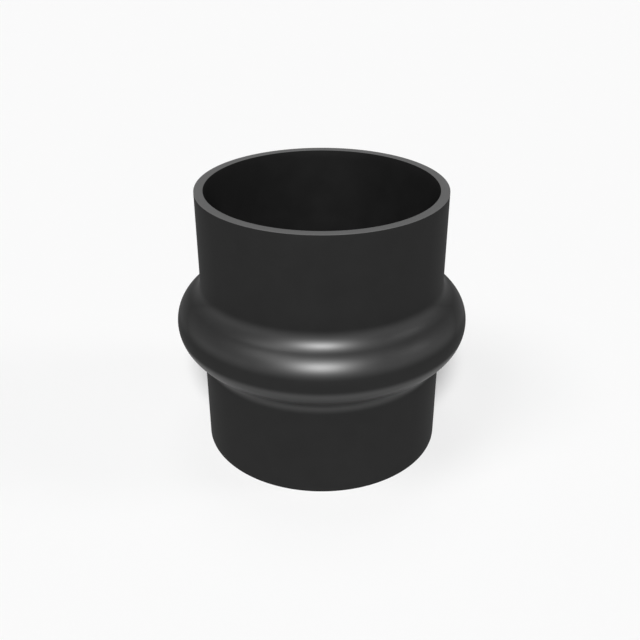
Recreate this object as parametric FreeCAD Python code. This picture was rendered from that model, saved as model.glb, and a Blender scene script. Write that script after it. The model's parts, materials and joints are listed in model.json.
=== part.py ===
import FreeCAD, Part
import math
import os

# Rubber hump connector for an air hose or intake pipe. One moulded piece: a straight
# cuff at each end slides over a pipe, and the hollow hump between them flexes.
# Millimetres. The origin is the centre of the lower end face, and +Z runs up the axis.

# Driving sizes
bore_diameter = 127.0     # inside of both cuffs, for a 5 inch pipe
wall_thickness = 4.9      # the same in the cuffs and all round the hump
lower_cuff_length = 50.8  # straight part below the hump, 2 inches
upper_cuff_length = 50.8  # straight part above the hump, 2 inches
hump_rise = 14.0          # how far the hump's crown stands out from the cuffs
crown_radius = 17.4       # outside radius of the hump's crown, in section
fillet_radius = 12.7      # outside radius where the hump runs into each cuff, in section
edge_round = 0.3          # small round on the four edges of the two cut ends

# Radii of the cuffs
bore_radius = bore_diameter / 2
cuff_radius = bore_radius + wall_thickness

# The hump's section. Each flank turns away from the axis, over a fillet and a crown arc
# that are tangent to each other, until it has risen far enough. A rise of more than the
# two radii leaves a straight stretch between them, after a quarter turn.
both_radii = crown_radius + fillet_radius
flank_turn = math.degrees(math.acos(max(0.0, 1 - hump_rise / both_radii)))
flank_straight = max(0.0, hump_rise - both_radii)
hump_half_length = both_radii * math.sin(math.radians(flank_turn))
crown_centre_r = cuff_radius + hump_rise - crown_radius
fillet_centre_r = cuff_radius + fillet_radius

# Heights
hump_middle = lower_cuff_length + hump_half_length
upper_cuff_start = hump_middle + hump_half_length
overall_length = upper_cuff_start + upper_cuff_length


def point(r, z):
    """A point of the section, at radius r and height z."""
    return FreeCAD.Vector(r, 0, z)


def line(start, end):
    """A straight edge of the section."""
    return Part.LineSegment(start, end).toShape()


def arc(centre_r, centre_z, radius, start, end):
    """An arc of the section from one angle to another, in degrees, 0 pointing outwards and 90 up."""
    places = []
    for angle in (start, (start + end) / 2, end):
        turn = math.radians(angle)
        places.append(point(centre_r + radius * math.cos(turn), centre_z + radius * math.sin(turn)))
    return Part.Arc(*places).toShape()


def flank(cuff_end, up, wall):
    """The fillet from a cuff's end into the hump, and the straight stretch if there is one.

    up is +1 where the hump lies above the cuff's end and -1 where it lies below.
    """
    radius = fillet_radius + wall
    edges = [arc(fillet_centre_r, cuff_end, radius, 180, 180 - up * flank_turn)]
    if flank_straight > 0:
        z = cuff_end + up * radius
        edges.append(line(point(fillet_centre_r, z), point(crown_centre_r, z)))
    return edges


def wall_side(wall):
    """The edges of one side of the wall: wall is 0 for the outside, or its thickness for the inside.

    The arcs of both sides share their centres, so the wall is as thick round the hump as in the cuffs.
    """
    r = cuff_radius - wall
    edges = [line(point(r, edge_round), point(r, lower_cuff_length))]
    edges += flank(lower_cuff_length, 1, wall)
    edges.append(arc(crown_centre_r, hump_middle, crown_radius - wall, -flank_turn, flank_turn))
    edges += flank(upper_cuff_start, -1, wall)
    edges.append(line(point(r, upper_cuff_start), point(r, overall_length - edge_round)))
    return edges


def cut_end(z, up):
    """The flat end of the wall at height z, with its inner and outer edges rounded.

    up is +1 where the wall lies above z and -1 where it lies below.
    """
    inner_r = bore_radius + edge_round
    outer_r = cuff_radius - edge_round
    centre_z = z + up * edge_round
    return [
        arc(inner_r, centre_z, edge_round, 180, 180 + up * 90),
        line(point(inner_r, z), point(outer_r, z)),
        arc(outer_r, centre_z, edge_round, -up * 90, 0),
    ]


def hump_connector():
    """The whole moulding: the closed section of its wall, turned once round the axis."""
    section = wall_side(0) + wall_side(wall_thickness) + cut_end(0, 1) + cut_end(overall_length, -1)
    outline = Part.Wire(Part.__sortEdges__(section))
    return Part.Face(outline).revolve(point(0, 0), FreeCAD.Vector(0, 0, 1), 360)


os.makedirs("parts", exist_ok=True)
hump_connector().exportStep("parts/hump_connector.step")
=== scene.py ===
import json
import math

import bpy
import numpy as np
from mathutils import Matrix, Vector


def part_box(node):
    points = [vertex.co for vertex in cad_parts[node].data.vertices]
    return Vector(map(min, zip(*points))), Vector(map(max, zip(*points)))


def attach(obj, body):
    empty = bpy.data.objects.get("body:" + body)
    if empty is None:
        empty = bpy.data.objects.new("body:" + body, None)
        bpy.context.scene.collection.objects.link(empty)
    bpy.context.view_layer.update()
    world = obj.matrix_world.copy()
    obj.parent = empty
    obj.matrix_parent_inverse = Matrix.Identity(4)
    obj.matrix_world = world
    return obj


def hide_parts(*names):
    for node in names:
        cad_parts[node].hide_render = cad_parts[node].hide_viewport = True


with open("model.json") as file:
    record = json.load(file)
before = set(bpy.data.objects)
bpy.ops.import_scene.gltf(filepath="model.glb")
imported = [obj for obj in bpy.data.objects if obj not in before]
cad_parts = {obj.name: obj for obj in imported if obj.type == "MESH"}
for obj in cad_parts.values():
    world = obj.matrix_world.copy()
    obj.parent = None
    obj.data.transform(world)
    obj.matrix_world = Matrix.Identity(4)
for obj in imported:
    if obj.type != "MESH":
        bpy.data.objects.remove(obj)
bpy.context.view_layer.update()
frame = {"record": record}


# The connector: one moulding of black rubber, a straight cuff at each end and a hollow hump
# between them. It is pressed in a mould, and then its two ends are cut square with a knife.
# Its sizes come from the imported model: its box, its bores and the seats of its band clamps.
low, high = (np.array(corner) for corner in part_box("hump_connector"))
mounts = {mount["name"]: mount for mount in frame["record"]["mounts"]}
BORE_R = mounts["upper_bore"]["dims"]["r_mm"] / 1000
CUFF_R = mounts["upper_band_seat"]["dims"]["r_mm"] / 1000
CUFF_LENGTH = mounts["lower_bore"]["dims"]["length_mm"] / 1000
LENGTH = high[2] - low[2]
HUMP_R = (high[0] - low[0]) / 2
CROWN_RADIUS = 0.0174    # outside radius of the hump's crown, in section
EDGE_ROUND = 0.00015     # radius that the knife leaves at the corners of the two cut ends
WALL = CUFF_R - BORE_R
ROUND_STEPS = 480        # columns of the mesh round the axis
CUFF_STEPS = 10          # rows along a cuff
OUTSIDE_STEPS = 20       # rows along a fillet outside; the crown has twice as many
INSIDE_STEPS = 16        # the same inside
CORNER_STEPS = 5         # rows round a corner of a cut end


def arc_points(centre_r, centre_z, radius, start, end, steps):
    """Points on an arc in the section: centre plus radius times (cos, sin) of evenly spaced angles."""
    turn = np.radians(np.linspace(start, end, steps))
    return np.stack([centre_r + radius * np.cos(turn), centre_z + radius * np.sin(turn)], axis=1)


def straight_points(r, z_start, z_end, steps):
    """Points on a straight stretch of a cuff, without its two ends, which the arcs beside it hold."""
    z = np.linspace(z_start, z_end, steps + 2)[1:-1]
    return np.stack([np.full(steps, r), z], axis=1)


def wall_line(inset, steps):
    """One side of the wall from the lower cuff to the upper one, inset from the outside.

    A fillet, a crown arc and a second fillet, tangent to each other: the crown's circle and a
    fillet's circle touch, so the angle of the flank follows from how far the two centres lie
    apart along the axis and across it. With s as the sum of both radii, half the hump's length
    is s sin(angle) and its rise is s (1 - cos(angle)).
    """
    half_hump = LENGTH / 2 - CUFF_LENGTH
    rise = HUMP_R - CUFF_R
    turn = 2 * math.atan2(rise, half_hump)
    fillet_radius = half_hump / math.sin(turn) - CROWN_RADIUS
    fillet_r = CUFF_R + fillet_radius
    middle = LENGTH / 2
    flank = math.degrees(turn)
    lower = arc_points(fillet_r, middle - half_hump, fillet_radius + inset, 180, 180 - flank, steps)
    crown = arc_points(HUMP_R - CROWN_RADIUS, middle, CROWN_RADIUS - inset, -flank, flank, 2 * steps)
    upper = arc_points(fillet_r, middle + half_hump, fillet_radius + inset, 180 + flank, 180, steps)
    r = CUFF_R - inset
    return np.concatenate([
        straight_points(r, EDGE_ROUND, middle - half_hump, CUFF_STEPS),
        lower,
        crown[1:-1],
        upper,
        straight_points(r, middle + half_hump, LENGTH - EDGE_ROUND, CUFF_STEPS),
    ])


def wall_section():
    """The closed section of the wall, and for each of its points whether it lies on a cut end.

    It runs up the outside, over the upper end, down the inside and out along the lower end.
    """
    top, inner, outer = LENGTH - EDGE_ROUND, BORE_R + EDGE_ROUND, CUFF_R - EDGE_ROUND
    parts = [
        (wall_line(0, OUTSIDE_STEPS), False),
        (arc_points(outer, top, EDGE_ROUND, 0, 90, CORNER_STEPS), True),
        (arc_points(inner, top, EDGE_ROUND, 90, 180, CORNER_STEPS), True),
        (wall_line(WALL, INSIDE_STEPS)[::-1], False),
        (arc_points(inner, EDGE_ROUND, EDGE_ROUND, 180, 270, CORNER_STEPS), True),
        (arc_points(outer, EDGE_ROUND, EDGE_ROUND, 270, 360, CORNER_STEPS), True),
    ]
    points = np.concatenate([part for part, _ in parts])
    on_cut = np.concatenate([np.full(len(part), flag) for part, flag in parts])
    return points, on_cut


def revolved(name, points, columns):
    """A closed surface: each point (r, z) of the section goes round Z, to (r cos a, r sin a, z).

    The angle a goes once round in even steps. The UV map is in metres: u runs round the cuff, v
    along the section.
    """
    rows = len(points)
    angle = np.arange(columns) * 2 * np.pi / columns
    r, z = points[:, 0], points[:, 1]
    grid = np.stack([
        np.outer(np.cos(angle), r),
        np.outer(np.sin(angle), r),
        np.tile(z, (columns, 1)),
    ], axis=2)
    column, row = np.meshgrid(np.arange(columns), np.arange(rows), indexing="ij")
    next_column, next_row = (column + 1) % columns, (row + 1) % rows
    corners = (
        column * rows + row,
        next_column * rows + row,
        next_column * rows + next_row,
        column * rows + next_row,
    )
    quads = np.stack(corners, axis=2).reshape(-1, 4)
    mesh = bpy.data.meshes.new(name)
    mesh.from_pydata(grid.reshape(-1, 3).tolist(), [], quads.tolist())
    mesh.polygons.foreach_set("use_smooth", np.ones(columns * rows, bool))
    along = np.concatenate([[0], np.cumsum(np.hypot(*np.diff(points, axis=0).T))])
    next_along = np.append(along[1:], along[-1] + np.hypot(*(points[0] - points[-1])))
    u = np.stack([(column + step) / columns * 2 * np.pi * CUFF_R for step in (0, 1, 1, 0)], axis=2)
    v = np.stack([along[row], along[row], next_along[row], next_along[row]], axis=2)
    layer = mesh.uv_layers.new(name="metres")
    layer.data.foreach_set("uv", np.stack([u, v], axis=3).ravel())
    mesh.update()
    piece = bpy.data.objects.new(name, mesh)
    bpy.context.scene.collection.objects.link(piece)
    return piece


points, on_cut = wall_section()
connector = revolved("connector_body", points, ROUND_STEPS)
cut_faces = on_cut & np.roll(on_cut, -1)
connector.data.polygons.foreach_set("material_index", np.tile(cut_faces, ROUND_STEPS).astype(np.int32))


def node(tree, kind, **settings):
    """A new shader node with its settings; names with 'in_' set the default of that input."""
    made = tree.nodes.new(kind)
    for key, value in settings.items():
        if key.startswith("in_"):
            made.inputs[key[3:].replace("_", " ")].default_value = value
        else:
            setattr(made, key, value)
    return made


def noise(tree, vector, scale, detail=2.0):
    """The factor of a noise texture whose features are about 1/scale wide, in the vector's unit."""
    texture = node(tree, "ShaderNodeTexNoise", in_Scale=scale, in_Detail=detail)
    tree.links.new(vector, texture.inputs["Vector"])
    return texture.outputs["Fac"]


def spread(tree, factor, low_value, high_value, start=0.3, end=0.7, kind="LINEAR"):
    """The factor stretched from (start, end) to (low_value, high_value), and held level outside them.

    Most of a noise texture lies between 0.3 and 0.7, so those are the defaults.
    """
    ranged = node(
        tree, "ShaderNodeMapRange", interpolation_type=kind,
        in_From_Min=start, in_From_Max=end, in_To_Min=low_value, in_To_Max=high_value,
    )
    tree.links.new(factor, ranged.inputs["Value"])
    return ranged.outputs["Result"]


def banded(tree, share, stops, values):
    """A value that eases from one of the values to the next as the share passes their stops."""
    ramp = node(tree, "ShaderNodeValToRGB")
    ramp.color_ramp.interpolation = "EASE"
    for stop in stops[1:-1]:
        ramp.color_ramp.elements.new(stop)
    for element, stop, value in zip(ramp.color_ramp.elements, stops, values):
        element.position = stop
        element.color = (value, value, value, 1)
    tree.links.new(share, ramp.inputs["Fac"])
    return ramp.outputs["Color"]


def combined(tree, operation, first, second):
    """The sum, difference, product or greater of two values, as the operation says."""
    result = node(tree, "ShaderNodeMath", operation=operation)
    tree.links.new(first, result.inputs[0])
    tree.links.new(second, result.inputs[1])
    return result.outputs[0]


def greyed(tree, shader, level):
    """Sends one level to red, green and blue of the shader's colour, which makes it a plain grey."""
    grey = node(tree, "ShaderNodeCombineColor")
    for channel in grey.inputs:
        tree.links.new(level, channel)
    tree.links.new(grey.outputs[0], shader.inputs["Base Color"])


def bumped(tree, shader, height, depth):
    """Sends a height of 0 to 1 to the shader's normal as relief of the given depth in metres."""
    relief = node(tree, "ShaderNodeBump", in_Distance=depth)
    tree.links.new(height, relief.inputs["Height"])
    tree.links.new(relief.outputs["Normal"], shader.inputs["Normal"])


SKIN_BLACK = 0.0056      # how much light the carbon-black rubber gives back
SKIN_CLOUDY = 0.15       # share of it that the cloudy patches add or take away
SKIN_GLOSS = 0.21        # specular level
COAT_ROUGHNESS = 0.42    # of the glossy skin on the hump's flanks
# Each row: height above the middle of the hump in mm, weight of the glossy skin there, how much
# of that weight a grazing view takes away, and roughness. The flanks above and below the belly
# are polished; the cuffs and the belly, the widest place, are matt.
POLISH = (
    (-25.6, 0.0, 0.0, 0.62),
    (-20.0, 1.0, 0.6, 0.43),
    (-6.0, 1.0, 0.55, 0.43),
    (-2.0, 0.0, 0.0, 0.58),
    (3.5, 0.0, 0.0, 0.58),
    (9.0, 1.0, 0.95, 0.43),
    (19.5, 1.0, 0.95, 0.43),
    (25.6, 0.0, 0.0, 0.62),
)
# The slant of a view is one minus the cosine of its angle to the surface's normal. From the first
# of these slants to the second the fine grain hides the polish, and the skin looks rougher.
GRAZING_START = 0.15
GRAZING_END = 0.56
GRAZING_ROUGH = 0.22     # roughness added at the second slant
CLOUD_SCALE = 85         # cloudy patches 12 mm wide
GRAIN_SCALE = 1600       # grain 0.6 mm wide
PATCHY = 0.015           # roughness that the patches and the grain each add or take away
GRAIN_DEPTH = 0.000006   # height of the grain's relief


def moulded_rubber():
    """Black rubber as the mould leaves it.

    Gloss and roughness follow the height, through the rows of POLISH, and the slant of the view.
    Cloudy patches vary the black, they and a fine grain vary the roughness, and the grain gives
    a very shallow relief.
    """
    material = bpy.data.materials.new("moulded_rubber")
    material.use_nodes = True
    tree = material.node_tree
    shader = tree.nodes["Principled BSDF"]
    shader.inputs["Specular IOR Level"].default_value = SKIN_GLOSS
    shader.inputs["Coat Roughness"].default_value = COAT_ROUGHNESS
    place = node(tree, "ShaderNodeTexCoord").outputs["Object"]
    clouds = noise(tree, place, CLOUD_SCALE)
    grain = noise(tree, place, GRAIN_SCALE)

    upward = node(tree, "ShaderNodeSeparateXYZ")
    tree.links.new(place, upward.inputs[0])
    heights = [LENGTH / 2 + row[0] / 1000 for row in POLISH]
    share = spread(tree, upward.outputs["Z"], 0.0, 1.0, heights[0], heights[-1])
    stops = [(height - heights[0]) / (heights[-1] - heights[0]) for height in heights]
    gloss = banded(tree, share, stops, [row[1] for row in POLISH])
    lost = banded(tree, share, stops, [row[2] for row in POLISH])
    roughness = banded(tree, share, stops, [row[3] for row in POLISH])

    slant = node(tree, "ShaderNodeLayerWeight", in_Blend=0.5).outputs["Facing"]
    grazing = spread(tree, slant, 0.0, 1.0, GRAZING_START, GRAZING_END)
    coat = combined(tree, "SUBTRACT", gloss, combined(tree, "MULTIPLY", lost, grazing))
    tree.links.new(coat, shader.inputs["Coat Weight"])
    matting = spread(tree, slant, 0.0, GRAZING_ROUGH, GRAZING_START, GRAZING_END)
    cloudy = spread(tree, clouds, -PATCHY, PATCHY)
    grainy = spread(tree, grain, -PATCHY, PATCHY)
    roughness = combined(tree, "ADD", roughness, matting)
    roughness = combined(tree, "ADD", roughness, combined(tree, "ADD", cloudy, grainy))
    tree.links.new(roughness, shader.inputs["Roughness"])

    black = spread(tree, clouds, SKIN_BLACK * (1 - SKIN_CLOUDY), SKIN_BLACK * (1 + SKIN_CLOUDY))
    greyed(tree, shader, black)
    bumped(tree, shader, grain, GRAIN_DEPTH)
    return material


# The cut face's grey is partly the greyer colour of cut rubber and partly painted light: it is as
# bright as an end lit from above.
CUT_GREY_AND_PAINTED_LIGHT = 0.099         # the cut face is lighter than the skin
CUT_STREAKY = 0.1        # share of it that the streaks add or take away
CUT_GLOSS = 0.4          # specular level
CUT_ROUGHNESS = 0.75
STREAKS_ROUND = 70       # streaks 14 mm long round the cuff
STREAKS_ACROSS = 4000    # and 0.25 mm wide across the wall
STREAK_DEPTH = 0.00001   # height of the streaks' relief


def cut_rubber():
    """The cut face of the wall: matt and lighter than the skin, partly from the greyer colour of cut
    rubber and partly painted light, with fine streaks along the knife's way round.

    The streaks are noise on the UV map in metres, drawn out along u.
    """
    material = bpy.data.materials.new("cut_rubber")
    material.use_nodes = True
    tree = material.node_tree
    shader = tree.nodes["Principled BSDF"]
    shader.inputs["Specular IOR Level"].default_value = CUT_GLOSS
    shader.inputs["Roughness"].default_value = CUT_ROUGHNESS
    stretch = node(tree, "ShaderNodeMapping", in_Scale=(STREAKS_ROUND, STREAKS_ACROSS, 1))
    tree.links.new(node(tree, "ShaderNodeUVMap", uv_map="metres").outputs[0], stretch.inputs["Vector"])
    streaks = noise(tree, stretch.outputs[0], 1.0, detail=3.0)
    # Painted light: this grey partly stands in for the light from above on the top end.
    grey = spread(tree, streaks, CUT_GREY_AND_PAINTED_LIGHT * (1 - CUT_STREAKY), CUT_GREY_AND_PAINTED_LIGHT * (1 + CUT_STREAKY))
    greyed(tree, shader, grey)
    bumped(tree, shader, streaks, STREAK_DEPTH)
    return material


connector.data.materials.append(moulded_rubber())
connector.data.materials.append(cut_rubber())
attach(connector, "root")
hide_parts("hump_connector")


# The floor: one plain pale studio floor, wide enough to fill the picture behind the part.
# It is matt, so the part's shadow lies on it and no lamp shines in it.
FLOOR_HALF = 12.0
FLOOR_PALE = 0.92
floor_corners = [(x * FLOOR_HALF, y * FLOOR_HALF, 0) for x, y in ((-1, -1), (1, -1), (1, 1), (-1, 1))]
floor_mesh = bpy.data.meshes.new("floor")
floor_mesh.from_pydata(floor_corners, [], [(0, 1, 2, 3)])
floor = bpy.data.objects.new("floor", floor_mesh)
bpy.context.scene.collection.objects.link(floor)
floor_paint = bpy.data.materials.new("pale_floor")
floor_paint.use_nodes = True
floor_shader = floor_paint.node_tree.nodes["Principled BSDF"]
floor_shader.inputs["Base Color"].default_value = (FLOOR_PALE, FLOOR_PALE, FLOOR_PALE, 1)
floor_shader.inputs["Roughness"].default_value = 1.0
floor_shader.inputs["Specular IOR Level"].default_value = 0.0
floor_mesh.materials.append(floor_paint)


# The light: soft lamps round the part. Azimuth 0 is the camera's side, 90 its right hand.
# Each row: name, azimuth, elevation, softness (degrees across) and strength over pi.
LAMPS = (
    ("key", -1, 42, 17, 1.28),
    ("overhead", 180, 75, 25, 0.05),
    ("left", -57, 57, 25, 0.12),
    ("right", 86, 30, 17, 0.07),
)
for lamp_name, azimuth, elevation, softness, strength in LAMPS:
    lamp_data = bpy.data.lights.new(lamp_name, "SUN")
    lamp_data.energy = strength * math.pi
    lamp_data.angle = math.radians(softness)
    lamp = bpy.data.objects.new(lamp_name, lamp_data)
    lamp.rotation_euler = (math.radians(90 - elevation), 0, math.radians(azimuth))
    bpy.context.scene.collection.objects.link(lamp)


# The studio's walls, as the camera and the gloss see them: pale at the floor, darker higher up.
# They give no other light, so the lamps alone light the floor and the rubber's own colour.
ROOM_PALE = 0.96
ROOM_DARK = 0.32
ROOM_FADE = 0.40         # sine of the elevation at which the walls are dark
world = bpy.data.worlds.new("room")
world.use_nodes = True
room = world.node_tree
background = room.nodes["Background"]
skyward = node(room, "ShaderNodeSeparateXYZ")
room.links.new(node(room, "ShaderNodeTexCoord").outputs["Generated"], skyward.inputs[0])
room_grey = spread(room, skyward.outputs["Z"], ROOM_PALE, ROOM_DARK, 0.0, ROOM_FADE, "SMOOTHSTEP")
room.links.new(room_grey, background.inputs["Color"])
path = node(room, "ShaderNodeLightPath")
seen = combined(room, "MAXIMUM", path.outputs["Is Camera Ray"], path.outputs["Is Glossy Ray"])
seen = combined(room, "MAXIMUM", seen, path.outputs["Is Transmission Ray"])
room.links.new(seen, background.inputs["Strength"])
bpy.context.scene.world = world


# The camera: 0.305 m above the floor and 0.432 m from the axis, tilted down by 28.5 degrees.
# Its distance and height are in radii of the cuff, because a picture gives no more than ratios.
CAMERA_DISTANCE = 6.3198 * CUFF_R
CAMERA_HEIGHT = 4.4557 * CUFF_R
CAMERA_TILT = 0.4967     # radians
FOCAL_PIXELS = 844.1     # focal length, in pixels of the picture
AXIS_OFFSET_PIXELS = 1.8 # how far right of the picture's middle the part's axis is
PICTURE_PIXELS = 640
camera_data = bpy.data.cameras.new("camera")
camera_data.sensor_width = 36.0
camera_data.lens = camera_data.sensor_width * FOCAL_PIXELS / PICTURE_PIXELS
camera_data.shift_x = -AXIS_OFFSET_PIXELS / PICTURE_PIXELS
camera_data.clip_start = 0.01
camera = bpy.data.objects.new("camera", camera_data)
camera.location = (0, -CAMERA_DISTANCE, CAMERA_HEIGHT)
camera.rotation_euler = (math.pi / 2 - CAMERA_TILT, 0, 0)
bpy.context.scene.collection.objects.link(camera)
bpy.context.scene.camera = camera
bpy.context.scene.view_settings.view_transform = "Standard"
